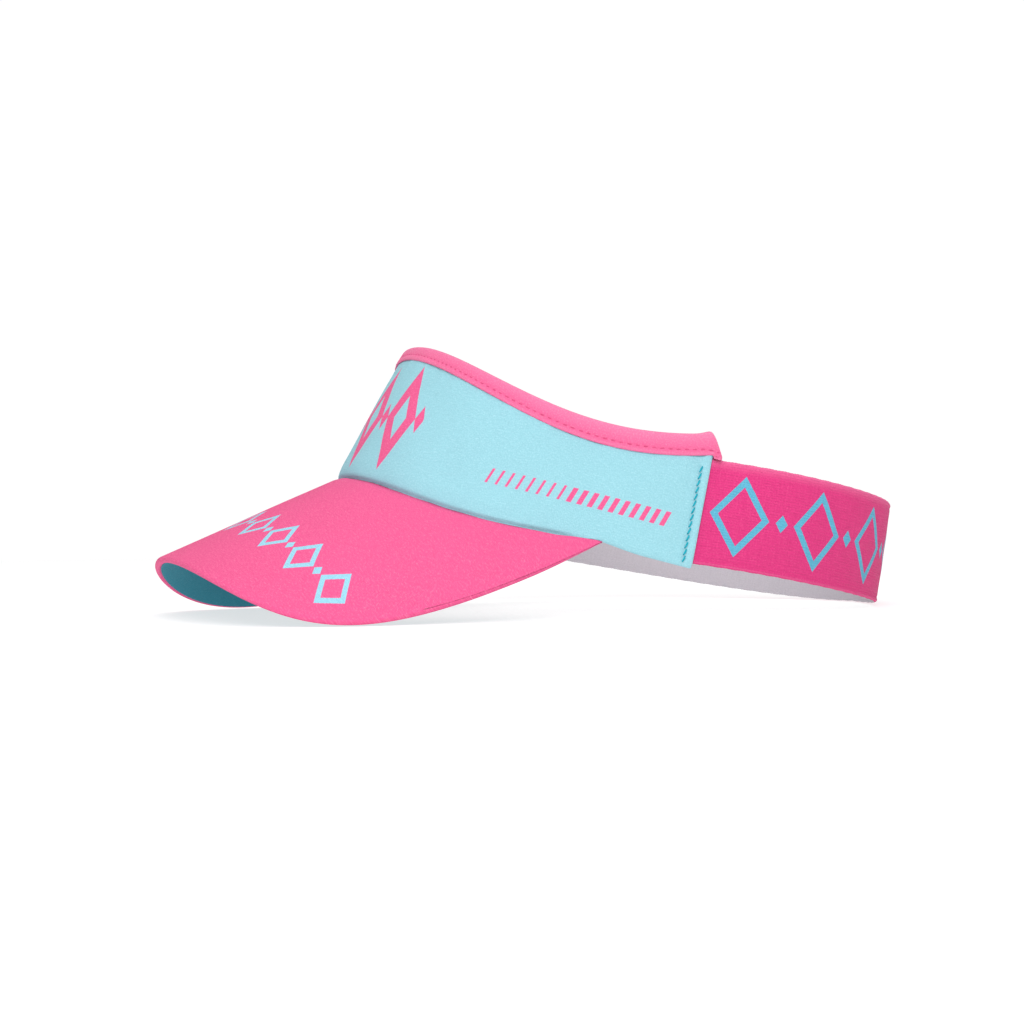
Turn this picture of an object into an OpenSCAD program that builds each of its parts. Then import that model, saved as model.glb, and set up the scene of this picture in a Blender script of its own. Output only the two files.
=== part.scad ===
// Sports sun visor: a leaning fabric front panel with a taped top edge, a sewn-in arched
// brim with a foam core, and a wide elastic strap that closes the loop behind the head.
// It stands on the two low corners of the brim and on the lower edge of the strap.
// Front of the visor is -Y, the wearer's left is +X, up is +Z.
//
// Everything sewn to the loop follows one skin, skin_point(a, h, off):
//   a    angle round the head, 0 at the forehead, 90 at the left temple, 180 at the back
//   h    height above the loop's own base plane, which tips back by loop_pitch
//   off  distance outside the panel's outer face

/* [Head loop] */
// Half width of the loop at its base plane, before the shape terms
loop_half_w = 84; // [78:0.5:90]
// Half length of the loop at its base plane
loop_half_l = 110; // [104:0.5:116]
// How far the back is wider than the forehead, as a share of the half width
egg_share = 0.12; // [0.05:0.005:0.14]
// Flattening of the temples, as a share of the half width
temple_share = 0.094; // [0:0.002:0.11]
// Fullness of the back against the forehead
back_fullness = 12; // [4:0.5:14]
// Roundness of the forehead and the back
end_roundness = 6.8; // [0:0.1:9]
// Angle by which the loop tips down towards the back
loop_pitch = 15.2; // [12:0.1:17]
// Inward lean of the panel at the forehead
lean_front = 10.3; // [6:0.1:16]
// Inward lean of the panel at its ends
lean_side = 8.3; // [4:0.1:10]
// Inward lean of the strap at the back
lean_back = 3.1; // [0:0.1:6]
// Extra inward roll of the panel's top edge at the forehead
crown_roll = 4.5; // [0:0.5:6]

/* [Front panel] */
// Angle from the forehead to either end of the panel
panel_end_angle = 106; // [100:0.5:112]
// Height of the top edge at the forehead
top_front_h = 76; // [72:0.1:80]
// Height of the top edge half way to the end
top_mid_h = 65; // [62:0.1:70]
// Height of the top edge three quarters of the way to the end
top_side_h = 60.4; // [58:0.1:65]
// Height of the top edge at the end
top_end_h = 66.8; // [64:0.1:71]
// Drop of the lower edge from the brim's end to the panel's end
tail_drop = 1.4; // [0:0.1:3]
// Thickness of the outer fabric
panel_t = 0.8; // [0.6:0.1:1]
// Thickness of the laminated foam behind it
interlining_t = 0.8; // [0.6:0.1:1]
// Thickness of the lining
lining_t = 0.6; // [0.4:0.1:0.8]
// Thickness of the towelling sweatband
sweatband_t = 2; // [1.5:0.1:2.5]
// Height of the sweatband
sweatband_h = 28; // [22:1:32]

/* [Top binding] */
// Visible width of the folded tape at the panel's ends
binding_w = 7.8; // [7:0.1:9.5]
// Visible width of the tape at the forehead, where more of it rolls over to the inside
binding_front_w = 5.2; // [4.5:0.1:8]
// Thickness of the tape
binding_t = 0.7; // [0.5:0.1:0.9]
// Angle by which the tape's tails run past the panel's ends
tail_angle = 1.9; // [1.6:0.1:3]

/* [Strap] */
// Width of the elastic
strap_w = 38; // [34:1:38]
// Thickness of the elastic
strap_t = 1.2; // [1:0.1:1.2]
// Height of the strap's middle at the panel's end
strap_start_h = 38.7; // [37.5:0.1:39.5]
// Rise of the strap's middle from the panel's end to the back
strap_rise = 10; // [6:0.1:12]
// Arch of the strap's middle between those two places
strap_bow = 4.3; // [0:0.1:6]
// Angle by which the strap runs in between the panel's layers
strap_tuck_angle = 8; // [5:0.5:9]

/* [Brim] */
// Height of the brim's crest over the loop's centre at the forehead
crest_h = 44.5; // [41:0.1:47]
// Downward slope of the brim's crest
crest_slope = 23; // [20:0.1:26]
// Radius of the brim's arch at its root
root_radius = 78.3; // [74:0.5:88]
// Radius of the brim's arch at its nose
nose_radius = 121.7; // [105:1:140]
// Extra droop of the brim's sides at 80 mm from the middle
side_droop = 3.9; // [2:0.1:6]
// Reach of the nose in front of the loop's centre
nose_reach = 162.6; // [156:0.1:168]
// Half width over which the nose runs straight
nose_half_w = 49.8; // [42:0.1:54]
// Angle round the head at which the brim ends
brim_end_angle = 82.8; // [80:0.1:88]
// Thickness of the upper cover
cover_t = 0.6; // [0.5:0.05:0.7]
// Thickness of the foam core
core_t = 1.3; // [1.2:0.1:1.8]
// Thickness of the under cover
under_t = 0.5; // [0.4:0.05:0.6]

/* [Stitching] */
// Distance from one topstitch to the next
stitch_pitch = 3; // [2.5:0.1:4]
// Width of the sewing thread
thread_w = 0.5; // [0.4:0.05:0.6]

/* [Hidden] */

DROOP_SPAN = 80;          // half width at which side_droop is measured
BRIM_SHOULDER = [[87.7, 147.5], [80.1, 117.2], [80, 85.6]]; // rim guide points, half width and reach
LAYER_GAP = 0.1;          // air between sewn layers of one body
BODY_GAP = 0.3;           // air between the strap and the layers round it
ANGLE_STEP = 3;           // facet size round the head
THREAD_T = 0.35;          // height of a thread on the cloth
THREAD_SHARE = 0.72;      // visible share of each stitch
THREAD_GAP = 0.2;         // air between a thread and the cloth under it
RIM_THREAD_GAP = 0.35;    // the same under the hollow side of the brim
FOLD_GAP = 0.15;          // air between the panel's top edge and the tape's fold
TAIL_HASTE = 1.8;         // how much sooner than the panel's end the lower edge has dropped
TOPSTITCH_INSET = 2.4;    // binding's topstitch above its lower edge
END_STITCH_INSET = 3.6;   // end topstitch from the panel's edge
RIM_STITCH_INSET = 5;     // underside stitch from the brim's rim
RIM_PARTS = 40;           // facets round the brim
RIM_LAP = 2;              // how far the upper cover laps under the rim
END_PRESS = 0.35;         // share of the brim's thickness left at its ends
FILLING_END = 0.975;      // share of the brim's length that the core and the under cover run
SHORT_SPAN = 17;          // below this length from seam to rim, the insets shrink in proportion
POCKET_ANGLE = 14;        // stretch over which the lining makes room for the strap
LABEL_W = 30;             // woven label along the strap
LABEL_H = 16;
LABEL_T = 0.4;

brim_t = cover_t + core_t + under_t + 2 * LAYER_GAP;
interlining_off = -panel_t - LAYER_GAP;
lining_off = interlining_off - interlining_t - LAYER_GAP;
strap_off = -panel_t - BODY_GAP;
pocket_off = strap_off - strap_t - BODY_GAP;
strap_tuck = panel_end_angle - strap_tuck_angle;

// ---- small helpers ----
function unit(v) = v / norm(v);
function clamp01(t) = min(1, max(0, t));
function smooth(t) = let (c = clamp01(t)) c * c * (3 - 2 * c);
function mix(a, b, t) = a * (1 - t) + b * t;
function bezier(p, t) = len(p) == 1 ? p[0]
    : bezier([for (i = [0:len(p) - 2]) mix(p[i], p[i + 1], t)], t);
function steps(a, b, step) = let (n = ceil(abs(b - a) / step)) [for (i = [0:n]) mix(a, b, i / n)];

// ---- the loop round the head ----
function loop_xy(a) = [
    loop_half_w * (sin(a) - egg_share * sin(2 * a) + temple_share * sin(3 * a)),
    -loop_half_l * cos(a) + back_fullness * (cos(2 * a) - 1) - end_roundness * (cos(3 * a) - cos(a))];
function loop_normal(a) = let (t = loop_xy(a + 0.05) - loop_xy(a - 0.05)) unit([t.y, -t.x]);
function around(a) = abs(a) > 180 ? 360 - abs(a) : abs(a);
function lean(a) = let (t = around(a) / panel_end_angle)
    t < 1 ? mix(lean_side, lean_front, pow(cos(90 * t), 2))
        : mix(lean_side, lean_back, (around(a) - panel_end_angle) / (180 - panel_end_angle));
function roll_in(a, h) = crown_roll * pow(max(0, cos(a)), 2) * pow((h - 20) / 60, 2);
function tip_back(p) = [p.x, p.y * cos(loop_pitch) + p.z * sin(loop_pitch),
    p.z * cos(loop_pitch) - p.y * sin(loop_pitch)];
function raw_skin(a, h, off) = let (
    xy = loop_xy(a) + loop_normal(a) * (off - h * tan(lean(a)) - roll_in(a, h)))
    tip_back([xy.x, xy.y, h]);

// ---- the brim's arched surface, as a height over the plan ----
nose_run = nose_reach - loop_half_l;
function arch(y) = mix(1 / (2 * root_radius), 1 / (2 * nose_radius), (-loop_half_l - y) / nose_run);
function brim_z(x, y) = crest_h + (loop_half_l + y) * tan(crest_slope) - arch(y) * x * x
    - side_droop * pow(x / DROOP_SPAN, 4);
function brim_normal(x, y) = unit([brim_z(x - 0.5, y) - brim_z(x + 0.5, y),
    brim_z(x, y - 0.5) - brim_z(x, y + 0.5), 1]);

// Height at which the skin meets the brim's surface lowered by depth, by the secant rule
function seam_gap(a, h, depth) = let (p = raw_skin(a, h, LAYER_GAP), n = brim_normal(p.x, p.y))
    p.z - brim_z(p.x, p.y) + depth / n.z;
function seam_h(a, depth = 0, h = 25, turns = 6) = turns == 0 ? h
    : let (g = seam_gap(a, h, depth), slope = seam_gap(a, h + 1, depth) - g)
        seam_h(a, depth, h - g / slope, turns - 1);

// ---- the visor stands on its brim and strap, with its middle over the origin ----
strap_back_h = strap_start_h + strap_rise - strap_w / 2;
loop_shift_y = (nose_reach - raw_skin(180, strap_back_h + strap_w, 0).y) / 2;
floor_z = raw_skin(180, strap_back_h, 0).z;
function stand(p) = p + [0, loop_shift_y, -floor_z];
function skin_point(a, h, off) = stand(raw_skin(a, h, off));

// ---- edges of the pieces ----
// The top edge is the cubic in (a / panel_end_angle)^2 through its four heights
function top_h(a) = let (s = pow(around(a) / panel_end_angle, 2), k = [0, 0.25, 0.5625, 1],
    v = [top_front_h, top_mid_h, top_side_h, top_end_h])
    sum([for (i = [0:3]) v[i] * product([for (j = [0:3]) if (j != i) (s - k[j]) / (k[i] - k[j])])]);
function sum(v, i = 0) = i == len(v) ? 0 : v[i] + sum(v, i + 1);
function product(v, i = 0) = i == len(v) ? 1 : v[i] * product(v, i + 1);

brim_end_h = seam_h(brim_end_angle);
function tail_h(a) = let (t = (around(a) - brim_end_angle) / (panel_end_angle - brim_end_angle))
    brim_end_h - tail_drop * smooth(TAIL_HASTE * t);
// Behind the brim the panel's seam allowance runs down over the brim's whole thickness
function low_h(a) = around(a) >= brim_end_angle ? tail_h(a)
    : seam_h(around(a)) - brim_t * smooth((brim_end_angle - around(a)) / 8);
function strap_mid_h(a) = let (t = (around(a) - panel_end_angle) / (180 - panel_end_angle))
    strap_start_h + strap_rise * t + strap_bow * t * (1 - t);
function strap_out(a) = mix(strap_off, 0, smooth((around(a) - panel_end_angle - 4) / 20));
function pocket(a, plain, roomy) = mix(plain, roomy,
    smooth((around(a) - panel_end_angle + strap_tuck_angle + POCKET_ANGLE) / (POCKET_ANGLE - 2)));

// ---- closed solid between two equal grids of points, outer and inner ----
module shell(outer, inner) {
    rows = len(outer);
    cols = len(outer[0]);
    count = rows * cols;
    function at(i, j) = i * cols + j;
    skin = [for (i = [0:rows - 2], j = [0:cols - 2])
        each [[at(i, j), at(i, j + 1), at(i + 1, j + 1)], [at(i, j), at(i + 1, j + 1), at(i + 1, j)]]];
    border = concat([for (j = [0:cols - 2]) [at(0, j + 1), at(0, j)]],
        [for (j = [0:cols - 2]) [at(rows - 1, j), at(rows - 1, j + 1)]],
        [for (i = [0:rows - 2]) [at(i, 0), at(i + 1, 0)]],
        [for (i = [0:rows - 2]) [at(i + 1, cols - 1), at(i, cols - 1)]]);
    polyhedron(points = concat([for (r = outer) each r], [for (r = inner) each r]),
        faces = concat(skin,
            [for (f = skin) [f[2] + count, f[1] + count, f[0] + count]],
            [for (e = border) each [[e[0], e[1], e[1] + count], [e[0], e[1] + count, e[0] + count]]]));
}

// A strip of cloth on the skin between two heights, given as functions of the angle
module strip(angles, low, high, out, inn, parts = 3) {
    shell([for (a = angles) [for (k = [0:parts]) skin_point(a, mix(low(a), high(a), k / parts), out(a))]],
        [for (a = angles) [for (k = [0:parts]) skin_point(a, mix(low(a), high(a), k / parts), inn(a))]]);
}

// A thread lying from p to q on cloth whose outward direction is up
module thread(p, q, up) {
    run = unit(q - p);
    side = unit(cross(up, run));
    top = cross(run, side);
    multmatrix([[run.x, side.x, top.x, p.x], [run.y, side.y, top.y, p.y], [run.z, side.z, top.z, p.z]])
        translate([0, -thread_w / 2, 0]) cube([norm(q - p), thread_w, THREAD_T]);
}

// Stitches one pitch apart along a row of height h(a) on the skin
module stitch_row(angles, h, off, facing = 1) {
    points = [for (a = angles) skin_point(a, h(a), off(a))];
    for (i = [0:len(points) - 2]) {
        n = loop_normal(angles[i]);
        thread(points[i], mix(points[i], points[i + 1], THREAD_SHARE), facing * [n.x, n.y, 0]);
    }
}

// Angles one stitch pitch apart round the head, walked from a to its mirror image
function walk(a, last) = a > last ? []
    : concat([a], walk(a + stitch_pitch / norm(loop_xy(a + 0.5) - loop_xy(a - 0.5)), last));

panel_angles = steps(-panel_end_angle, panel_end_angle, ANGLE_STEP);

// ---- front panel and what is sewn behind it ----
module front_panel() {
    color("paleturquoise")
        strip(panel_angles, function (a) low_h(a), function (a) top_h(a),
            function (a) 0, function (a) -panel_t, parts = 4);
}

module panel_interlining() {
    end = strap_tuck - 4;
    color("white")
        strip(steps(-end, end, ANGLE_STEP), function (a) low_h(a) + 4, function (a) top_h(a) - 0.5,
            function (a) interlining_off, function (a) interlining_off - interlining_t);
}

module panel_lining() {
    color("gainsboro")
        strip(panel_angles, function (a) low_h(a) + 0.3, function (a) top_h(a),
            function (a) pocket(a, lining_off, pocket_off),
            function (a) pocket(a, lining_off, pocket_off) - lining_t, parts = 4);
}

sweatband_end = strap_tuck - 8;
function sweatband_off(a) = pocket(a, lining_off, pocket_off) - lining_t - LAYER_GAP;
function sweatband_low(a) = low_h(a) + 1;
module sweatband() {
    color("whitesmoke")
        strip(steps(-sweatband_end, sweatband_end, ANGLE_STEP), function (a) sweatband_low(a),
            function (a) sweatband_low(a) + sweatband_h,
            function (a) sweatband_off(a), function (a) sweatband_off(a) - sweatband_t);
}

module sweatband_overlock() {
    color("white")
        stitch_row(walk(-sweatband_end + 1, sweatband_end - 1),
            function (a) sweatband_low(a) + sweatband_h - 1.5,
            function (a) sweatband_off(a) - sweatband_t - THREAD_GAP, facing = -1);
}

// ---- the tape folded over the panel's top edge ----
function binding_top(a) = let (past = around(a) - panel_end_angle)
    past <= 0 ? top_h(a) : mix(top_end_h, strap_mid_h(a) + strap_w / 2 + 2, past / tail_angle);
function tape_w(a) = mix(binding_w, binding_front_w, pow(max(0, cos(a)), 2));
function binding_low(a) = min(top_h(min(around(a), panel_end_angle)) - tape_w(a), binding_top(a) - 1.2);
module top_binding() {
    tape_end = panel_end_angle + tail_angle;
    angles = concat([-tape_end, -mix(panel_end_angle, tape_end, 0.5)], panel_angles,
        [mix(panel_end_angle, tape_end, 0.5), tape_end]);
    // Cross-section of the fold as [share of the way down, rise over the edge, share of the way in]
    fold = [[1, 0, 0], [0.5, 0, 0], [0, 0.4, 0], [0, 1, 0.2], [0, 1, 0.8], [0, 0.4, 1], [0.5, 0, 1],
        [1, 0, 1]];
    function leg(a, row, grow) = let (
        inside = pocket(a, lining_off, pocket_off) - lining_t - LAYER_GAP - grow,
        outside = LAYER_GAP + grow)
        skin_point(a, mix(binding_top(a), binding_low(a), row[0]) + (FOLD_GAP + grow) * row[1],
            mix(outside, inside, row[2]));
    color("hotpink")
        shell([for (a = angles) [for (row = fold) leg(a, row, binding_t)]],
            [for (a = angles) [for (row = fold) leg(a, row, 0)]]);
}

module binding_stitch() {
    color("deeppink")
        stitch_row(walk(-panel_end_angle - 1, panel_end_angle + 1),
            function (a) binding_low(a) + TOPSTITCH_INSET,
            function (a) LAYER_GAP + binding_t + THREAD_GAP);
}

// ---- topstitching that holds the strap's ends between the panel's layers ----
module end_stitch(side) {
    degrees_per_mm = 1 / norm(loop_xy(panel_end_angle) - loop_xy(panel_end_angle - 1));
    a = side * (panel_end_angle - END_STITCH_INSET * degrees_per_mm);
    low = tail_h(a) + 1.5;
    count = floor((binding_low(a) - 1 - low) / stitch_pitch);
    n = loop_normal(a);
    color("darkturquoise")
        for (i = [0:count - 1])
            thread(skin_point(a, low + i * stitch_pitch, THREAD_GAP),
                skin_point(a, low + (i + THREAD_SHARE) * stitch_pitch, THREAD_GAP), [n.x, n.y, 0]);
}
module left_end_stitch() { end_stitch(1); }
module right_end_stitch() { end_stitch(-1); }

// ---- brim: every layer runs from the seam out to the rim ----
rim_end = raw_skin(brim_end_angle + 2, tail_h(brim_end_angle + 2), LAYER_GAP);
rim_guides = concat([[0, -nose_reach], [nose_half_w, -nose_reach]],
    [for (p = BRIM_SHOULDER) [p.x, -p.y]], [[rim_end.x, rim_end.y]]);
function mirrored(p, u) = u < 0 ? [-p.x, p.y] : [p.x, p.y];
function rim_xy(u) = mirrored(bezier(rim_guides, abs(u)), u);
// The layers are pressed thin where the brim's ends tuck in under the panel
function pinch(u) = mix(END_PRESS, 1, smooth((1 - abs(u)) / 0.1));
function root_xy(u, depth) = let (a = brim_end_angle * abs(u))
    mirrored(raw_skin(a, seam_h(a, depth), LAYER_GAP), u);
// u runs from the right end, -1, to the left end, 1; inset is measured in from the rim
function brim_point(u, root, share, inset, full_depth) = let (
    depth = full_depth * pinch(u),
    rim = rim_xy(u),
    span = norm(root - rim),
    t = share * (1 - inset / max(span, SHORT_SPAN)),
    xy = mix(root, rim, t),
    n = brim_normal(xy.x, xy.y),
    dir = mix([0, 0, 1 / n.z], n, smooth(t)))
    stand([xy.x, xy.y, brim_z(xy.x, xy.y)] - dir * depth);
function brim_row(u, depth, profile) = let (root = root_xy(u, depth * pinch(u)))
    [for (r = profile) brim_point(u, root, r[0], r[1], depth + r[2])];
module brim_sheet(top, bottom, profile_top, profile_bottom, end = 1) {
    us = [for (i = [0:RIM_PARTS]) mix(-end, end, i / RIM_PARTS)];
    shell([for (u = us) brim_row(u, bottom, profile_bottom)], [for (u = us) brim_row(u, top, profile_top)]);
}

// Rows of a flat layer that stops short of the rim
function flat_rows(inset) = [for (t = [0, 0.25, 0.5, 0.75, 1]) [t, inset, 0]];

module brim_top_cover() {
    outer = [[0, 0, 0], [0.3, 0, 0], [0.6, 0, 0], [0.85, 0, 0], [1, 0.8, 0], [1, 0.1, 0.5],
        [1, 0, brim_t / 2], [1, 0.1, brim_t - 0.5], [1, 0.8, brim_t], [1, RIM_LAP, brim_t]];
    inner = [[0, 0, 0], [0.3, 0, 0], [0.6, 0, 0], [0.85, 0.2, 0], [1, 1.3, 0], [1, 0.8, 0.2],
        [1, 0.7, brim_t / 2 - cover_t], [1, 0.8, brim_t - 2 * cover_t - 0.2],
        [1, 1.3, brim_t - 2 * cover_t], [1, RIM_LAP, brim_t - 2 * cover_t]];
    color("hotpink")
        brim_sheet(0, cover_t, outer, inner);
}

module brim_core() {
    top = cover_t + LAYER_GAP;
    rows = flat_rows(1.5);
    color("white")
        brim_sheet(top, top + core_t - cover_t, rows, rows, FILLING_END);
}

module brim_under_cover() {
    top = cover_t + LAYER_GAP + core_t + LAYER_GAP;
    color("cadetblue")
        brim_sheet(top, top + under_t, flat_rows(RIM_LAP + 0.5), flat_rows(RIM_LAP + 0.5), FILLING_END);
}

module brim_edge_stitch() {
    parts = 96;
    color("teal")
        for (i = [2:parts - 3]) {
            u = mix(-1, 1, i / parts);
            v = mix(-1, 1, (i + THREAD_SHARE) / parts);
            depth = brim_t + RIM_THREAD_GAP;
            p = brim_point(u, root_xy(u, depth * pinch(u)), 1, RIM_STITCH_INSET, depth);
            q = brim_point(v, root_xy(v, depth * pinch(v)), 1, RIM_STITCH_INSET, depth);
            n = brim_normal(rim_xy(u).x, rim_xy(u).y);
            thread(p, q, -n);
        }
}

// Row through the sweatband's lower edge, the panel and the brim's root
module brim_seam_stitch() {
    color("silver")
        stitch_row(walk(-brim_end_angle + 2, brim_end_angle - 2),
            function (a) sweatband_low(a) + 2,
            function (a) sweatband_off(a) - sweatband_t - THREAD_GAP, facing = -1);
}

// ---- elastic strap ----
module elastic_strap() {
    color("deeppink")
        strip(steps(strap_tuck, 360 - strap_tuck, ANGLE_STEP),
            function (a) strap_mid_h(a) - strap_w / 2, function (a) strap_mid_h(a) + strap_w / 2,
            function (a) strap_out(a), function (a) strap_out(a) - strap_t);
}

// Blank woven label, sewn flat to the inside of the strap at the back
module size_label() {
    half = LABEL_W / 2 / norm(loop_xy(180) - loop_xy(179));
    color("white")
        strip(steps(180 - half, 180 + half, ANGLE_STEP),
            function (a) strap_mid_h(a) - LABEL_H / 2, function (a) strap_mid_h(a) + LABEL_H / 2,
            function (a) -strap_t - LAYER_GAP, function (a) -strap_t - LAYER_GAP - LABEL_T, parts = 1);
}

front_panel();
panel_interlining();
panel_lining();
sweatband();
sweatband_overlock();
top_binding();
binding_stitch();
left_end_stitch();
right_end_stitch();
brim_top_cover();
brim_core();
brim_under_cover();
brim_edge_stitch();
brim_seam_stitch();
elastic_strap();
size_label();
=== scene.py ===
import math

import bpy
import numpy as np
from mathutils import Matrix, Vector


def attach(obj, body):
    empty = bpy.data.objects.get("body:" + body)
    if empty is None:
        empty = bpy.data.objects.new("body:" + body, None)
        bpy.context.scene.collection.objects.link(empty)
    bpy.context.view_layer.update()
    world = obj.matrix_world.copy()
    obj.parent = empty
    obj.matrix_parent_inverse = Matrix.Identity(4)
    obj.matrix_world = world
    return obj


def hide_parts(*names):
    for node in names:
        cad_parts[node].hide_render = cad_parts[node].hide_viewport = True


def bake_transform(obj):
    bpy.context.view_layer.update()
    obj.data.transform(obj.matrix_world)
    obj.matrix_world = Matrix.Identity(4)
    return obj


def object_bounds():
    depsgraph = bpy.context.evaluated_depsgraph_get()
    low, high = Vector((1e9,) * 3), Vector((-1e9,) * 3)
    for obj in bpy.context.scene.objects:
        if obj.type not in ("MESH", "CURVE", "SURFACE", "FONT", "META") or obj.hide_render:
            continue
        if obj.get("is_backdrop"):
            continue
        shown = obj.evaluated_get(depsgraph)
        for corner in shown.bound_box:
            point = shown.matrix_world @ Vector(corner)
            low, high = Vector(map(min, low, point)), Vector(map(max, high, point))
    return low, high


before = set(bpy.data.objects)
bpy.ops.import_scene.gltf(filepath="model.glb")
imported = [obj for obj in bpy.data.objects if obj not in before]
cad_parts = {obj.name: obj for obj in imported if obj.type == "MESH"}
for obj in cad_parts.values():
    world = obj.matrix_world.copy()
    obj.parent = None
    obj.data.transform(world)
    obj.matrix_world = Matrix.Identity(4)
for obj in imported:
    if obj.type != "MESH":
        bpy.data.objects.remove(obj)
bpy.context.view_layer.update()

# ---- sizes in mm and angles in degrees (PITCH in radians), the same as the CAD model's ----
MM = 0.001
# The loop round the head, how its wall leans, and how far the visor pitches as it rests
HALF_W, HALF_L = 84.0, 110.0
EGG, TEMPLE, BACK_FULL, END_ROUND = 0.12, 0.094, 12.0, 6.8
PITCH = math.radians(15.2)
LEAN_FRONT, LEAN_SIDE, LEAN_BACK, CROWN_ROLL = 10.3, 8.3, 3.1, 4.5
# The front: where it ends, heights of its upper edge, its layers and its tape
PANEL_END = 106.0
TOP_H = (76.0, 65.0, 60.4, 66.8)
TAIL_DROP, TAIL_HASTE = 1.4, 1.8
PANEL_T, INTER_T, LINING_T, TOWEL_T, TOWEL_H = 0.8, 0.8, 0.6, 2.0, 28.0
BINDING_W, BINDING_FRONT_W, BINDING_T, TAIL_ANGLE = 7.8, 5.2, 0.7, 1.9
# The strap and its label
STRAP_W, STRAP_T = 38.0, 1.2
STRAP_START, STRAP_RISE, STRAP_BOW, STRAP_TUCK = 38.7, 10.0, 4.3, 98.0
LABEL_L, LABEL_H, LABEL_T = 30.0, 16.0, 0.4
# The brim: its arch, its outline and its layers
CREST_H, CREST_SLOPE = 44.5, math.tan(math.radians(23))
ROOT_R, NOSE_R, SIDE_DROOP, NOSE_REACH = 78.3, 121.7, 3.9, 162.6
NOSE_HALF_W, BRIM_END = 49.8, 82.8
SHOULDER = ((87.7, 147.5), (80.1, 117.2), (80.0, 85.6))
COVER_T, CORE_T, UNDER_T, GAP, BODY_GAP = 0.6, 1.3, 0.5, 0.1, 0.3
BRIM_T = COVER_T + CORE_T + UNDER_T + 2 * GAP
END_PRESS, SHORT_SPAN, LAYER_END, EDGE_STITCH_INSET = 0.35, 17.0, 0.975, 5.0
STITCH_PITCH = 3.0

# ---- sizes in mm, and shares, of what the CAD model leaves out or has otherwise ----
UNDER_INSET, CORE_INSET = 1.5, 2.5
TAIL_START, STITCH_RISE, TAPE_FLAT, END_PITCH = 1.5, 2.2, 30.0, 2.5
TONGUE, SHORT_TONGUE, GROOVE_D, GROOVE_SHARE, RIM_LAP = 45.0, 5.0, 1.4, 1 / 120, 3.2
# the last is how far in from the rim the painted shade under the brim takes to reach its darkest
PRINT_CENTRE_Y, PRINT_RADIUS, UNDER_SHADE_RUN = 40.0, 173.0, 30.0

# ---- colours, as linear reflectances, some with painted light or painted shade in them ----
PINK = (0.81, 0.092, 0.265)
# the second tape pink is lighter, painted on as highlight along the tape's fold and lower edge
TAPE_PINK, TAPE_HIGHLIGHT_PINK = (0.82, 0.125, 0.30), (0.84, 0.205, 0.385)
BRIM_BLUE = (0.30, 0.62, 0.76)
TURQUOISE = (0.30, 0.605, 0.685)
# the brim's underside: the turquoise darkened with painted shade
UNDER_SHADED_TEAL = (0.026, 0.225, 0.305)
# the second strap pink is lighter, painted on as highlight along the strap's upper edge and lower selvage
STRAP_PINK, STRAP_HIGHLIGHT_PINK = (0.70, 0.034, 0.200), (0.82, 0.15, 0.33)
STRAP_BLUE = (0.105, 0.43, 0.60)
STRAP_GREY = (0.53, 0.49, 0.535)
LINING_GREY = (0.64, 0.62, 0.65)
TOWEL_GREY = (0.72, 0.71, 0.73)
THREAD_TEAL = (0.003, 0.48, 0.61)
THREAD_UNDER = (0.05, 0.27, 0.35)
THREAD_PINK = (0.80, 0.085, 0.25)
THREAD_GREY = (0.55, 0.54, 0.57)
LABEL_WHITE = (0.80, 0.80, 0.79)
LABEL_GREY = (0.5, 0.5, 0.52)
FOAM_WHITE = (0.82, 0.82, 0.80)
FIBRE_WHITE = (0.95, 0.95, 0.97)


# ---- studio, in metres; each lamp has a name, a place, a width and a power in watts ----
WORLD_LIGHT, WORLD_SEEN = 0.35, 1.02
FLOOR_R, FLOOR_GLOW, FLOOR_GREY, FLOOR_SIDES, FLOOR_DROP = 1.0, 0.66, 0.45, 96, 0.0003
LAMP_AIM = (0, 0, 0.05)
LAMPS = (("key", (1.45, -0.6, 0.95), 1.2, 24.5), ("top", (-0.1, 0.0, 1.7), 1.4, 12.0),
         ("front", (-0.5, -1.5, 0.9), 1.0, 0.7), ("back", (-0.9, 1.3, 0.9), 1.0, 1.2))

# ---- camera: degrees, and millimetres for its distance, its aim and the width it sees there ----
CAMERA_AZIMUTH, CAMERA_RISE, CAMERA_ROLL = 69.5, 0.18, -0.54
CAMERA_AWAY, AIM_Y, AIM_Z, VIEW_W = 855.0, -31.09, 36.9, 382.52


# ---- small helpers ----
def smooth(t):
    """0 below 0, 1 above 1, and an S-shaped step between them."""
    t = np.clip(t, 0, 1)
    return t * t * (3 - 2 * t)


def mix(a, b, t):
    return a * (1 - t) + b * t


def bump(x, centre, width):
    """A smooth bump, 1 high at the centre."""
    return np.exp(-(((x - centre) / width) ** 2))


def unit(v):
    return v / np.maximum(np.linalg.norm(v, axis=-1, keepdims=True), 1e-12)


def xyz(x, y, z):
    return np.stack(np.broadcast_arrays(x, y, z), axis=-1)


# ---- the skin round the head, in the CAD's own terms ----
def loop_xy(a):
    r = np.radians(a)
    x = HALF_W * (np.sin(r) - EGG * np.sin(2 * r) + TEMPLE * np.sin(3 * r))
    y = -HALF_L * np.cos(r) + BACK_FULL * (np.cos(2 * r) - 1) - END_ROUND * (np.cos(3 * r) - np.cos(r))
    return x, y


def loop_normal(a):
    x0, y0 = loop_xy(a - 0.05)
    x1, y1 = loop_xy(a + 0.05)
    length = np.hypot(x1 - x0, y1 - y0)
    return (y1 - y0) / length, -(x1 - x0) / length


def around(a):
    """Degrees from the forehead, on either side."""
    return np.where(np.abs(a) > 180, 360 - np.abs(a), np.abs(a))


def lean(a):
    t = around(a) / PANEL_END
    front = mix(LEAN_SIDE, LEAN_FRONT, np.cos(np.radians(90 * np.minimum(t, 1))) ** 2)
    back = mix(LEAN_SIDE, LEAN_BACK, (around(a) - PANEL_END) / (180 - PANEL_END))
    return np.radians(np.where(t < 1, front, back))


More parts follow.
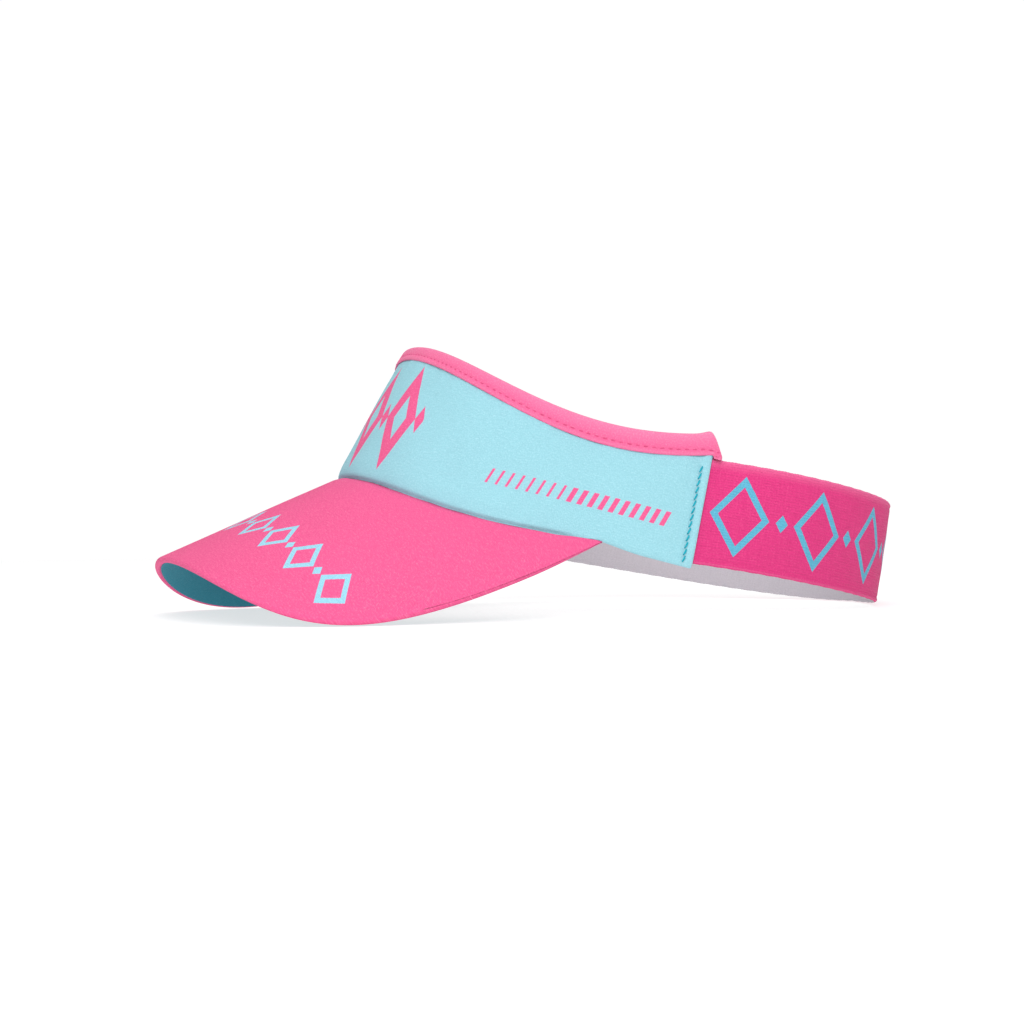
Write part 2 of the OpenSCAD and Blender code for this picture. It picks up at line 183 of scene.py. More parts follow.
def raw_skin(a, h, off):
    """The point at a degrees, h mm up the leaning wall and off mm out from it, before it is stood up."""
    x, y = loop_xy(a)
    nx, ny = loop_normal(a)
    roll = CROWN_ROLL * np.maximum(0, np.cos(np.radians(a))) ** 2 * ((h - 20) / 60) ** 2
    out = off - h * np.tan(lean(a)) - roll
    x, y = x + nx * out, y + ny * out
    return xyz(x, y * math.cos(PITCH) + h * math.sin(PITCH), h * math.cos(PITCH) - y * math.sin(PITCH))


def brim_z(x, y):
    """Height of the brim's upper face, whose arch opens out towards the nose."""
    arch = mix(1 / (2 * ROOT_R), 1 / (2 * NOSE_R), (-HALF_L - y) / (NOSE_REACH - HALF_L))
    return CREST_H + (HALF_L + y) * CREST_SLOPE - arch * x * x - SIDE_DROOP * (x / 80) ** 4


def brim_normal(x, y):
    return unit(xyz(brim_z(x - 0.5, y) - brim_z(x + 0.5, y), brim_z(x, y - 0.5) - brim_z(x, y + 0.5), 1.0))


def seam_h(a, depth=0.0):
    """Height at which the skin meets the brim's surface lowered by depth, by the secant rule."""
    def gap(h):
        p = raw_skin(a, h, GAP)
        return p[..., 2] - brim_z(p[..., 0], p[..., 1]) + depth / brim_normal(p[..., 0], p[..., 1])[..., 2]
    h = np.zeros_like(np.asarray(a, float)) + 25
    for _ in range(6):
        g = gap(h)
        h = h - g / (gap(h + 1) - g)
    return h


STRAP_BACK_H = STRAP_START + STRAP_RISE - STRAP_W / 2
SHIFT_Y = (NOSE_REACH - float(raw_skin(180.0, STRAP_BACK_H + STRAP_W, 0.0)[1])) / 2
FLOOR_Z = float(raw_skin(180.0, STRAP_BACK_H, 0.0)[2])
STAND = np.array([0, SHIFT_Y, -FLOOR_Z])


def skin(a, h, off):
    return raw_skin(a, h, off) + STAND


def skin_normal(a, h):
    along = skin(a + 0.2, h, 0.0) - skin(a - 0.2, h, 0.0)
    up = skin(a, h + 0.5, 0.0) - skin(a, h - 0.5, 0.0)
    return unit(np.cross(along, up))


def top_h(a):
    """Upper edge of the panel, a smooth curve through the heights in TOP_H, held level past its ends."""
    s = (np.minimum(around(a), PANEL_END) / PANEL_END) ** 2
    knots = (0, 0.25, 0.5625, 1)
    total = 0
    for i, v in enumerate(TOP_H):
        term = v
        for j, k in enumerate(knots):
            if j != i:
                term = term * (s - k) / (knots[i] - k)
        total = total + term
    return total


BRIM_END_H = float(seam_h(BRIM_END))


def tail_h(a):
    """Lower edge of the panel beyond the brim."""
    return BRIM_END_H - TAIL_DROP * smooth(TAIL_HASTE * (around(a) - BRIM_END) / (PANEL_END - BRIM_END))


def seam_line(a):
    """Where the panel's face ends below: at the brim, and beyond it at the panel's own edge."""
    a = around(a)
    return np.where(a >= BRIM_END, tail_h(a), seam_h(np.minimum(a, BRIM_END)))


def low_h(a):
    """Lower edge of the panel, which passes behind the brim's thickness."""
    return seam_line(a) - BRIM_T * smooth((BRIM_END - around(a)) / 8)


def tape_w(a):
    return mix(BINDING_W, BINDING_FRONT_W, np.maximum(0, np.cos(np.radians(a))) ** 2)


def strap_mid(a):
    t = (around(a) - PANEL_END) / (180 - PANEL_END)
    return STRAP_START + STRAP_RISE * t + STRAP_BOW * t * (1 - t)


def strap_out(a):
    """The strap's outer face, which steps in under the panel's ends."""
    return mix(-PANEL_T - BODY_GAP, 0.0, smooth((around(a) - PANEL_END - 4) / 20))


INTER_OFF = -PANEL_T - GAP
LINING_OFF = INTER_OFF - INTER_T - GAP
POCKET_OFF = -PANEL_T - BODY_GAP - STRAP_T - BODY_GAP

# Arc length round the loop, in mm from the forehead
ARC_A = np.linspace(-270, 270, 5401)
ARC_S = np.concatenate([[0], np.cumsum(np.hypot(*np.diff(np.array(loop_xy(ARC_A)), axis=1)))])
ARC_S -= np.interp(0, ARC_A, ARC_S)
PANEL_END_S = float(np.interp(PANEL_END, ARC_A, ARC_S))
STRAP_HALF_S = float(np.interp(180.0, ARC_A, ARC_S)) - PANEL_END_S


def arc(a):
    return np.interp(a, ARC_A, ARC_S)


def angle_at(s):
    return np.interp(s, ARC_S, ARC_A)


# ---- mesh building ----
def linked(name, data):
    """A new object in the scene."""
    obj = bpy.data.objects.new(name, data)
    bpy.context.scene.collection.objects.link(obj)
    return obj


def make_mesh(name, points, faces, u, v, materials, face_slots=None):
    """A smooth mesh object from a grid of points in mm, with cloth coordinates u and v in mm."""
    uvs = np.stack(np.broadcast_arrays(u, v, points[..., 0])[:2], -1).reshape(-1, 2)
    mesh = bpy.data.meshes.new(name)
    mesh.from_pydata((points.reshape(-1, 3) * MM).tolist(), [], faces)
    for m in materials:
        mesh.materials.append(m)
    if face_slots is not None:
        mesh.polygons.foreach_set("material_index", np.asarray(face_slots, np.int32))
    mesh.polygons.foreach_set("use_smooth", np.ones(len(mesh.polygons), bool))
    layer = mesh.uv_layers.new(name="cloth")
    corner = np.zeros(len(mesh.loops), np.int32)
    mesh.loops.foreach_get("vertex_index", corner)
    layer.data.foreach_set("uv", uvs.astype(np.float32)[corner].ravel())
    mesh.validate()
    mesh.update()
    return linked(name, mesh)


def ring_faces(rows, cols):
    """Quads of a tube of rows rings with cols points each, and its two end caps."""
    faces = []
    for i in range(rows - 1):
        for j in range(cols):
            k = (j + 1) % cols
            faces.append((i * cols + j, (i + 1) * cols + j, (i + 1) * cols + k, i * cols + k))
    half = cols // 2
    for row, flip in ((0, False), (rows - 1, True)):
        for j in range(half - 1):
            quad = [row * cols + x for x in (j, j + 1, cols - 2 - j, cols - 1 - j)]
            faces.append(tuple(reversed(quad)) if flip else tuple(quad))
    return faces


EDGE_TURN = np.linspace(0, math.pi, 7)


def cloth(name, place, us, shares, thick, materials, end_u=0.4, flip=False):
    """A sheet of cloth with rounded edges, as one closed mesh.

    place(u, share, extra, deep) gives (points in mm, u in mm, v in mm); share runs 0 to 1 across
    the sheet, extra moves along it in mm, and deep is how far a point is below the outer face."""
    r = thick / 2
    low = [(shares[0], r * (1 - math.sin(t)), r * (1 + math.cos(t))) for t in EDGE_TURN[:-1]]
    out = [(s, 0.0, 0.0) for s in shares[1:-1]]
    low_in = [(shares[0], r, 0.0)]
    top = [(shares[-1], -r * (1 - math.sin(t)), r * (1 - math.cos(t))) for t in EDGE_TURN]
    back = [(s, 0.0, thick) for s in shares[-2:0:-1]]
    profile = np.array(low + low_in + out + top + back)
    if len(profile) % 2:
        profile = np.vstack([profile, (profile[-1] + profile[0]) / 2])
    phi = np.radians([78, 52, 26, 0])  # how far each end has still to thicken: its first rows round it off
    lead = end_u * (1 - np.sin(phi))
    u = np.concatenate([us[0] + lead, us[1:-1], us[-1] - lead[::-1]])
    flat = np.concatenate([np.cos(phi), np.ones(len(us) - 2), np.cos(phi[::-1])])
    deep = r + (profile[None, :, 2] - r) * flat[:, None]
    share = np.broadcast_to(profile[None, :, 0], deep.shape)
    extra = profile[None, :, 1] + (1 - flat[:, None]) * r * np.sign(0.5 - share) * 0.6
    points, cloth_u, cloth_v = place(u[:, None], share, extra, deep)
    rows, cols = deep.shape
    faces = ring_faces(rows, cols)
    inner = []  # the inner face takes the second material, and begins higher up at the upper edge
    for j in range(cols):
        k = (j + 1) % cols
        border = thick * (0.93 if profile[j, 0] > 0.5 else 0.55)
        inner.append(int((profile[j, 2] + profile[k, 2]) / 2 > border))
    slots = inner * (rows - 1) + [0] * (len(faces) - (rows - 1) * cols)
    if flip:
        faces = [tuple(reversed(f)) for f in faces]
    return make_mesh(name, points, faces, cloth_u, cloth_v, materials, slots if len(materials) > 1 else None)


def stitches(name, starts, ends, ups, radius, material, lift=0.55):
    """One mesh of sewing stitches: each a short thread that rises from the cloth and dips back in."""
    sections, sides = 7, 7
    starts, ends, ups = np.asarray(starts), np.asarray(ends), unit(np.asarray(ups))
    along = unit(ends - starts)
    across = unit(np.cross(ups, along))
    t = np.linspace(0, 1, sections)
    turn = np.linspace(0, 2 * math.pi, sides, endpoint=False)
    rise = radius * (lift * 2 * np.sqrt(np.sin(math.pi * t)) - 0.9)
    width = radius * (0.55 + 0.45 * np.sqrt(np.sin(math.pi * t)))
    way = (ends - starts)[:, None] * t[None, :, None]
    centre = starts[:, None] + way + ups[:, None] * rise[None, :, None]
    ring = (across[:, None, None] * np.cos(turn)[None, None, :, None]
            + ups[:, None, None] * np.sin(turn)[None, None, :, None])
    points = centre[:, :, None] + ring * width[None, :, None, None]
    tube = []
    for low in range(0, (sections - 1) * sides, sides):
        for k in range(sides):
            n = (k + 1) % sides
            tube.append((low + k, low + n, low + sides + n, low + sides + k))
    tube.append(tuple(reversed(range(sides))))
    tube.append(tuple(range((sections - 1) * sides, sections * sides)))
    faces = [tuple(i * sections * sides + k for k in face) for i in range(len(starts)) for face in tube]
    length = np.linalg.norm(ends - starts, axis=1)[:, None, None]
    return make_mesh(name, points, faces, t[None, :, None] * length, turn * radius, (material,))


# ---- node materials ----
class Num:
    """A number in a material's node tree: arithmetic on it adds Math nodes."""

    def __init__(self, tree, socket):
        self.tree, self.socket = tree, socket

    def op(self, kind, *others):
        node = self.tree.nodes.new("ShaderNodeMath")
        node.operation = kind
        for slot, value in enumerate((self, *others)):
            if isinstance(value, Num):
                self.tree.links.new(value.socket, node.inputs[slot])
            else:
                node.inputs[slot].default_value = value
        return Num(self.tree, node.outputs[0])

    def __add__(self, other):
        return self.op("ADD", other)

    def __sub__(self, other):
        return self.op("SUBTRACT", other)

    def __mul__(self, other):
        return self.op("MULTIPLY", other)

    def __truediv__(self, other):
        return self.op("DIVIDE", other)

    def __abs__(self):
        return self.op("ABSOLUTE")

    def __neg__(self):
        return self.op("MULTIPLY", -1.0)

    def sin(self):
        return self.op("SINE")

    def cos(self):
        return self.op("COSINE")

    def fraction(self):
        return self.op("FRACT")

    def whole(self):
        return self.op("ROUND")

    def power(self, other):
        return self.op("POWER", other)

    def fold(self, half):
        return self.op("PINGPONG", half)

    def least(self, other):
        return self.op("MINIMUM", other)

    def most(self, other):
        return self.op("MAXIMUM", other)

    def clamped(self):
        return self.least(1.0).most(0.0)

    def inside(self, half, soft=0.15):
        """1 where the number is within half of zero, with an edge soft wide."""
        return ((abs(self) - half) * (-1.0 / soft) + 0.5).clamped()


class Finish:
    """A material being built: UV numbers in mm, colour mixing, noise and bump in one place."""

    def __init__(self, name, roughness=0.85, sheen=0.3, sheen_tint=(1, 1, 1), specular=0.3):
        self.material = bpy.data.materials.new(name)
        self.material.use_nodes = True
        self.tree = self.material.node_tree
        self.shader = self.tree.nodes["Principled BSDF"]
        self.set("Roughness", roughness)
        self.set("Sheen Weight", sheen)
        self.set("Sheen Roughness", 0.45)
        self.set("Sheen Tint", (*sheen_tint, 1))
        self.set("Specular IOR Level", specular)
        uv = self.node("ShaderNodeUVMap", uv_map="cloth")
        split = self.node("ShaderNodeSeparateXYZ")
        self.tree.links.new(uv.outputs[0], split.inputs[0])
        self.uv = uv.outputs[0]
        self.u, self.v = Num(self.tree, split.outputs[0]), Num(self.tree, split.outputs[1])

    def node(self, kind, **values):
        node = self.tree.nodes.new(kind)
        for key, value in values.items():
            setattr(node, key, value)
        return node

    def set(self, socket, value):
        self.shader.inputs[socket].default_value = value

    def stretched(self, scale_u, scale_v):
        node = self.node("ShaderNodeVectorMath", operation="MULTIPLY")
        self.tree.links.new(self.uv, node.inputs[0])
        node.inputs[1].default_value = (scale_u, scale_v, 1)
        return node.outputs[0]

    def noise(self, scale, detail=2.0, rough=0.5, stretch=(1, 1)):
        """Noise about 0, from -0.5 to 0.5, with features 1/scale mm wide."""
        node = self.node("ShaderNodeTexNoise")
        node.inputs["Scale"].default_value = scale
        node.inputs["Detail"].default_value = detail
        node.inputs["Roughness"].default_value = rough
        self.tree.links.new(self.stretched(*stretch), node.inputs["Vector"])
        return Num(self.tree, node.outputs[0]) - 0.5

    def cells(self, scale, feature):
        """Distance from scattered points about 1/scale mm apart."""
        node = self.node("ShaderNodeTexVoronoi", feature=feature)
        node.inputs["Scale"].default_value = scale
        self.tree.links.new(self.stretched(1.0, 1.0), node.inputs["Vector"])
        return Num(self.tree, node.outputs["Distance"])

    def flat(self, colour):
        node = self.node("ShaderNodeRGB")
        node.outputs[0].default_value = (*colour, 1)
        return node.outputs[0]

    def mixed(self, share, a, b):
        """Colour a where share is 0 and b where it is 1; each is a tuple or a node's colour socket."""
        node = self.node("ShaderNodeMix", data_type="RGBA")
        self.tree.links.new(share.socket, node.inputs["Factor"])
        for socket, value in ((node.inputs[6], a), (node.inputs[7], b)):
            if isinstance(value, tuple):
                socket.default_value = (*value, 1)
            else:
                self.tree.links.new(value, socket)
        return node.outputs[2]

    def shaded(self, colour, factor):
        """The colour multiplied by a number."""
        node = self.node("ShaderNodeVectorMath", operation="SCALE")
        self.tree.links.new(colour, node.inputs[0])
        self.tree.links.new(factor.socket, node.inputs["Scale"])
        return node.outputs[0]

    def fibres(self, colour, grit, fluff=0.12):
        """The colour with pale fibres showing where grit is above zero; fluff is their greatest share."""
        return self.mixed((grit * (fluff * 4)).most(0.0).least(fluff), colour, FIBRE_WHITE)

    def finish(self, colour, height, depth_mm, roughness=None):
        self.tree.links.new(colour, self.shader.inputs["Base Color"])
        node = self.node("ShaderNodeBump")
        node.inputs["Distance"].default_value = depth_mm * MM
        self.tree.links.new(height.socket, node.inputs["Height"])
        self.tree.links.new(node.outputs[0], self.shader.inputs["Normal"])
        if roughness is not None:
            self.tree.links.new(roughness.socket, self.shader.inputs["Roughness"])
        return self.material


def argyle(x, y, period, half_w, half_h, stroke, half_run, dot=0.26):
    """Ink of a row of outlined diamonds with a small solid diamond between each two.

    Sizes are in mm; dot is the solid ones' size as a share, and half_run is where the row stops."""
    def diamond(across, w, h):
        return (across / w + abs(y) / h - 1.0) * (w * h / math.hypot(w, h))
    folded = x.fold(period / 2)
    outline = (diamond(folded, half_w, half_h) + stroke / 2).inside(stroke / 2)
    solid = (diamond(-folded + period / 2, half_w * dot, half_h * dot) + stroke).inside(stroke)
    return outline.most(solid).least(x.inside(half_run))


def knit_height(f, wale=0.62, course=0.5):
    """Rounded columns of small V-shaped loops."""
    column = (f.u / wale).fraction() - 0.5
    ridge = (column * math.pi).cos().power(0.6)
    loop = ((f.v / course + abs(column) * 0.9) * (2 * math.pi)).sin()
    return ridge * 0.6 + loop * 0.3


def knit_material(name, colour, ink_colour=None, ink=None, sheen=0.08, fluff=0.10, painted_shade=0.0):
    """A fine smooth knit; ink(u, v) gives the printed share, and a painted shade can darken it away from v =
    0.
    """
    f = Finish(name, roughness=0.88, sheen=sheen, sheen_tint=tuple(0.5 + 0.5 * c for c in colour))
    base = f.flat(colour)
    if ink is not None:
        grain = f.noise(2.2, 2.0) * 0.22
        base = f.mixed(ink(f.u + grain, f.v + grain), base, ink_colour)
    height = knit_height(f)
    grit = f.noise(1.7, 2.0, 0.8)
    courses = f.noise(1.0, 3.0, 0.6, (0.5, 1.9))
    base = f.fibres(base, grit + courses * 0.5, fluff)
    factor = height * 0.06 + grit * 0.30 + courses * 0.18 + f.noise(0.045, 2.0) * 0.05 + 0.985
    # painted shade: the colour darkens away from v = 0; under the brim v is the distance in from the rim
    if painted_shade:
        factor = factor - (f.v / UNDER_SHADE_RUN).least(1.0) * painted_shade
    return f.finish(f.shaded(base, factor), height + grit * 1.6, 0.10, f.noise(0.7, 2.0) * 0.12 + 0.86)


def front_print(u, v):
    """Bold row at the forehead, and on each side a row of slanted bars: thin ones, then thick ones."""
    bold = argyle(u, v - 47.5, period=24.0, half_w=9.6, half_h=20.5, stroke=5.0, half_run=38.2)
    pitch, first, thin_bars, thick_bars = 3.8, 73.435, 8, 10
    thin_half, thick_half, bar_half_h, bar_h = 0.48, 0.93, 2.7, 32.6
    slant = abs(u) - (v - bar_h) * 0.35
    change = first + pitch * (thin_bars - 0.5)
    half_bar = ((slant - change) * 2.0 + 0.5).clamped() * (thick_half - thin_half) + thin_half
    bars = (slant - first).fold(pitch / 2).inside(half_bar)
    half_run = pitch * (thin_bars + thick_bars) / 2
    run = (slant - (first - pitch / 2 + half_run)).inside(half_run)
    return bold.most(bars.least((v - bar_h).inside(bar_half_h)).least(run))


def brim_print(u, v):
    """Fine row on an arc across the brim."""
    return argyle(u, v, period=17.0, half_w=6.2, half_h=8.2, stroke=1.75, half_run=74.5)


def strap_print(u, v):
    """Large row, laid out from the back so that a whole diamond stands next to each end of the panel."""
    half_w, margin, diamonds = 12.0, 3.0, 4
    period = (STRAP_HALF_S - margin - half_w) / diamonds
    return argyle(u, v, period, half_w, half_h=14.6, stroke=2.5, half_run=STRAP_HALF_S - margin / 2, dot=0.22)


def elastic_material(name, colour, ink_colour=None, ink=None, highlight_colour=None, ribbed=1.0):
    """Woven elastic: fine ribs along the strap and a finer weft; the optional lighter colour is painted
    highlight on its rolled upper edge and its lower selvage.
    """
    f = Finish(name, roughness=0.75, sheen=0.05, sheen_tint=(1, 0.8, 0.9), specular=0.2)
    base = f.flat(colour)
    if highlight_colour is not None:
        # painted highlight: the top 4.2 mm of the strap lighter where its rolled edge catches light from
        # above, and a thin painted highlight on the lower selvage cord 0.7 mm up, with a little random
        # variation
        highlight_run, highlight_most, low_rib = 4.2, 0.85, 0.7
        highlight = (((f.v - STRAP_W / 2 + highlight_run) / highlight_run).most(0.0).power(1.5) * highlight_most).least(highlight_most)
        highlight = highlight + (f.v + STRAP_W / 2 - low_rib).inside(0.3, 0.4) * 0.30
        base = f.mixed(highlight + f.noise(0.9, 3.0) * 0.10, base, highlight_colour)
    if ink is not None:
        grain = f.noise(1.6, 2.0) * 0.3
        base = f.mixed(ink(f.u + grain, f.v + grain), base, ink_colour)
    rib = abs((f.v * (math.pi / 0.95)).sin()).power(0.7)
    weft = ((f.u / 0.55 + (f.v / 1.9).whole() * 0.5) * (2 * math.pi)).sin() * 0.5
    rows = f.noise(1.0, 3.0, 0.6, (0.18, 2.2))
    columns = f.noise(1.0, 3.0, 0.6, (1.8, 0.12))
    speck = f.noise(1.6, 3.0, 0.8)
    height = rib * (0.6 * ribbed) + weft * 0.35 + speck * 1.5 + columns * 0.6
    # painted light: the term in v makes the strap a little lighter towards its top edge and darker towards
    # its lower one
    factor = (rib * 0.05 + rows * 0.25) * ribbed + weft * 0.05 + columns * 0.18 + speck * 0.34 + f.v * 0.0016
    base = f.fibres(base, speck + columns * 0.3, 0.045)
    return f.finish(f.shaded(base, factor + 0.97), height, 0.16, f.noise(0.8, 2.0) * 0.15 + 0.68)


def tape_material(name, colour, highlight_colour):
    """Knitted tape, with painted highlight along its rounded fold and its lower edge."""
    f = Finish(name, roughness=0.85, sheen=0.22, sheen_tint=(1, 0.7, 0.8))
    height = knit_height(f, 0.55, 0.5)
    # painted highlight: lighter from 3 mm up the outer leg, over the rounded fold and along the whole inner
    # leg, and a thin painted highlight on the lower edge's roll, with a little random variation
    fold = ((f.v - 3.0) / 5.0).clamped() * 0.9
    highlight = fold + (f.v - 0.6).inside(0.5, 0.8) * 0.45 + f.noise(0.6, 3.0) * 0.2
    grit = f.noise(1.7, 2.0, 0.8)
    base = f.fibres(f.mixed(highlight, colour, highlight_colour), grit)
    factor = height * 0.06 + grit * 0.30 + f.noise(0.06, 2.0) * 0.06 + 0.985
    return f.finish(f.shaded(base, factor), height + grit * 1.6, 0.09)


def towelling_material(name, colour):
    """Short loops of terry: clumped cells a little under a millimetre wide."""
    f = Finish(name, roughness=0.95, sheen=0.5)
    loops = -f.cells(1.25, "SMOOTH_F1") + 0.5
    height = loops + f.noise(1.8, 4.0, 0.7) * 0.9
    factor = loops * 0.25 + f.noise(0.8, 4.0) * 0.18 + 0.90
    return f.finish(f.shaded(f.flat(colour), factor), height, 0.45)


def thread_material(name, colour):
    """Twisted sewing thread, a little glossy."""
    f = Finish(name, roughness=0.55, sheen=0.0, specular=0.35)
    twist = ((f.u + f.v * 1.6) * (2 * math.pi / 0.45)).sin()
    factor = twist * 0.14 + f.noise(1.1, 2.0) * 0.2 + 0.95
    return f.finish(f.shaded(f.flat(colour), factor), twist, 0.04)


def satin_material(name, colour, line_colour):
    """Woven label satin with a thin line along each edge."""
    f = Finish(name, roughness=0.42, sheen=0.1, specular=0.5)
    weave = ((f.u / 0.3 + (f.v / 0.6).whole() * 0.37) * (2 * math.pi)).sin() * 0.5
    long_line, short_line = LABEL_H / 2 - 1.1, LABEL_L / 2 - 1.2
    border = (abs(f.v) - long_line).inside(0.25).most((abs(f.u) - short_line).inside(0.25))
    tone = f.mixed(border, colour, line_colour)
    factor = weave * 0.05 + f.noise(0.5, 3.0) * 0.08 + 0.97
    return f.finish(f.shaded(tone, factor), weave + f.noise(1.0, 2.0) * 0.5, 0.05)


def foam_material(name, colour):
    """Fine open-cell foam."""
    f = Finish(name, roughness=0.9, sheen=0.1)
    pore = f.cells(2.4, "F1")
    return f.finish(f.shaded(f.flat(colour), pore * 0.12 + f.noise(0.3, 3.0) * 0.08 + 0.92), pore, 0.08)


def floor_material():
    """Plain matt floor that glows a little, so that it shows as white."""
    material = bpy.data.materials.new("studio_floor")
    material.use_nodes = True
    shader = material.node_tree.nodes["Principled BSDF"]
    shader.inputs["Base Color"].default_value = (FLOOR_GREY, FLOOR_GREY, FLOOR_GREY, 1)
    shader.inputs["Roughness"].default_value = 0.9
    shader.inputs["Specular IOR Level"].default_value = 0.1
    shader.inputs["Emission Color"].default_value = (1, 1, 1, 1)
    shader.inputs["Emission Strength"].default_value = FLOOR_GLOW
    return material


# ---- front panel ----
def waviness(s, h):
    """Slow unevenness of hand-sewn cloth, in mm."""
    return (0.16 * np.sin(s * 0.093 + 0.7) * np.sin(h * 0.11 + 1.1)
            + 0.10 * np.sin(s * 0.21 + h * 0.13 + 2.0) + 0.05 * np.sin(s * 0.43 - h * 0.31))


def panel_face(a, h):
    """How far the panel's outer face stands off the skin: hem, groove, seam roll and puckers.

    edge is the distance from the panel's end, above that from the brim's seam, and past_tape how far
    a point is below the tape, all in mm."""
    s = arc(a)
    edge = PANEL_END_S - np.abs(s)
    above = h - seam_line(a)
    past_tape = top_h(a) - tape_w(a) - h
    forehead = smooth((58 - np.abs(a)) / 40)
    hem = 0.40 * bump(edge, 1.5, 1.3) - 0.36 * bump(edge, 3.7, 0.8) - 0.35 * bump(edge, 6.0, 3.0)
    hem = hem * smooth((h - tail_h(a) - 0.5) / 3)
    dimple = 0.16 * np.cos(2 * math.pi * h / END_PITCH) * bump(edge, 3.9, 1.5)
    inside_brim = smooth((BRIM_END - 2 - np.abs(a)) / 9)
    free_edge = smooth((np.abs(a) - BRIM_END) / 4)
    roll = -inside_brim * mix(1.3, 1.7, forehead) * np.exp(-np.maximum(above, 0) / mix(0.3, 0.6, forehead))
    roll = roll - 1.4 * free_edge * np.exp(-np.maximum(above, 0))
    swell = 0.28 * bump(above, 5.0, 4.0) * inside_brim
    pucker = 0.07 * np.sin(s * 2 * math.pi / 7.3 + np.sin(s * 0.21)) * bump(past_tape, 0.0, 5.0)
    press = -0.08 * bump(past_tape, -0.5, 1.6)
    return hem + dimple + roll + swell + pucker + press + waviness(s, h) * smooth(edge / 12)


def strip_place(low, high, out, relief):
    """place() for cloth that lies along the skin between two heights."""
    def place(a, share, extra, deep):
        h = mix(low(a), high(a), share) + extra
        return skin(a, h, out(a) - deep + relief(a, h)), arc(a), h
    return place


def steps(lo, hi, mm):
    """Angles about mm apart from lo to hi degrees."""
    s = np.linspace(arc(lo), arc(hi), int(abs(arc(hi) - arc(lo)) / mm) + 2)
    return angle_at(s)


def cloth_top(a):
    """Upper edge of the panel's layers, kept inside the tape where its tail slopes down."""
    return np.minimum(top_h(a), binding_top(a) - 0.8)


def front_panel(materials):
    place = strip_place(low_h, cloth_top, lambda a: 0.0, panel_face)
    shares = np.concatenate([np.linspace(0, 0.12, 12), np.linspace(0.12, 1, 52)[1:]])
    return cloth("front_panel_cloth", place, steps(-PANEL_END, PANEL_END, 1.0), shares, PANEL_T, materials)


def pressed(a, h):
    """How far the layers behind the panel give way where its face turns in."""
    return np.minimum(panel_face(a, h), 0) * 0.6


def panel_interlining(materials):
    end = STRAP_TUCK - 4
    place = strip_place(lambda a: low_h(a) + 4, lambda a: top_h(a) - 0.5, lambda a: INTER_OFF, pressed)
    return cloth("interlining_foam", place, steps(-end, end, 2.0), np.linspace(0, 1, 22), INTER_T, materials)


def lining_relief(a, h):
    s = arc(a)
    return 0.08 * np.sin(s * 0.37 + h * 0.2) - 0.05 * np.sin(s * 0.81 - h * 0.35) + pressed(a, h)


def lining_off(a):
    """The lining's outer face, which steps in behind the strap's pockets."""
    return mix(LINING_OFF, POCKET_OFF, smooth((around(a) - (STRAP_TUCK - 14)) / 12))


def panel_lining(materials):
    place = strip_place(lambda a: low_h(a) + 0.3, cloth_top, lambda a: lining_off(a) - 0.05, lining_relief)
    angles = steps(-PANEL_END, PANEL_END, 1.5)
    return cloth("lining_cloth", place, angles, np.linspace(0, 1, 34), LINING_T, materials)


# ---- sweatband ----
TOWEL_END = STRAP_TUCK - 8


def towel_off(a):
    return lining_off(a) - LINING_T - GAP


def towel_low(a):
    return low_h(a) + 1


def towel_top(a):
    return towel_low(a) + TOWEL_H


def sweatband(materials):
    """A plump band of terry, pressed in where it is stitched along both edges."""
    def place(a, share, extra, deep):
        h = mix(towel_low(a), towel_top(a), share) + extra
        s = arc(a)
        rise = h - towel_low(a)
        plump = 0.25 * np.sin(math.pi * np.clip(rise / TOWEL_H, 0, 1)) - 0.55 * bump(rise, 2.0, 0.9)
        plump = plump - 0.35 * bump(rise, TOWEL_H - 1.5, 0.8)
        wave = 0.12 * np.sin(s * 0.52 + 0.4 * np.sin(s * 0.17)) + 0.08 * np.sin(s * 1.13 + h * 0.3)
        tuft = 0.10 * np.sin(s * 5.1) * np.sin(h * 4.7 + np.sin(s * 1.7))
        grow = (plump + wave + tuft) * smooth(deep / TOWEL_T)
        return skin(a, h, towel_off(a) - deep - grow), s, h
    shares = np.concatenate([[0], np.linspace(0.04, 0.96, 56), [1]])
    return cloth("sweatband_towelling", place, steps(-TOWEL_END, TOWEL_END, 0.9), shares, TOWEL_T, materials)


# ---- top binding ----
def binding_top(a):
    """The fold's upper edge: near each end it runs down in a rounded slope to the strap."""
    past = around(a) - PANEL_END
    t = np.clip((past + TAIL_START) / (TAIL_ANGLE + TAIL_START), 0, 1)
    peak = 0.7 * bump(past, -TAIL_START, 1.7)
    end = strap_mid(a) + STRAP_W / 2 + 1.3
    return mix(top_h(a) + peak, end, t ** 1.5)


def tail_share(a):
    """1 on the tape's tails, past the panel's ends, and 0 before them."""
    return smooth((around(a) - PANEL_END + 0.2) / 0.4)


def binding_row(a):
    """Height of the topstitching, which dips with the tail."""
    past = np.maximum(around(a) - PANEL_END + 2.2, 0)
    return top_h(a) - tape_w(a) + STITCH_RISE - 0.30 * past


def binding_low(a):
    plain = top_h(a) - tape_w(a)
    return np.minimum(plain - 1.2 * tail_share(a), binding_top(a) - 1.3)


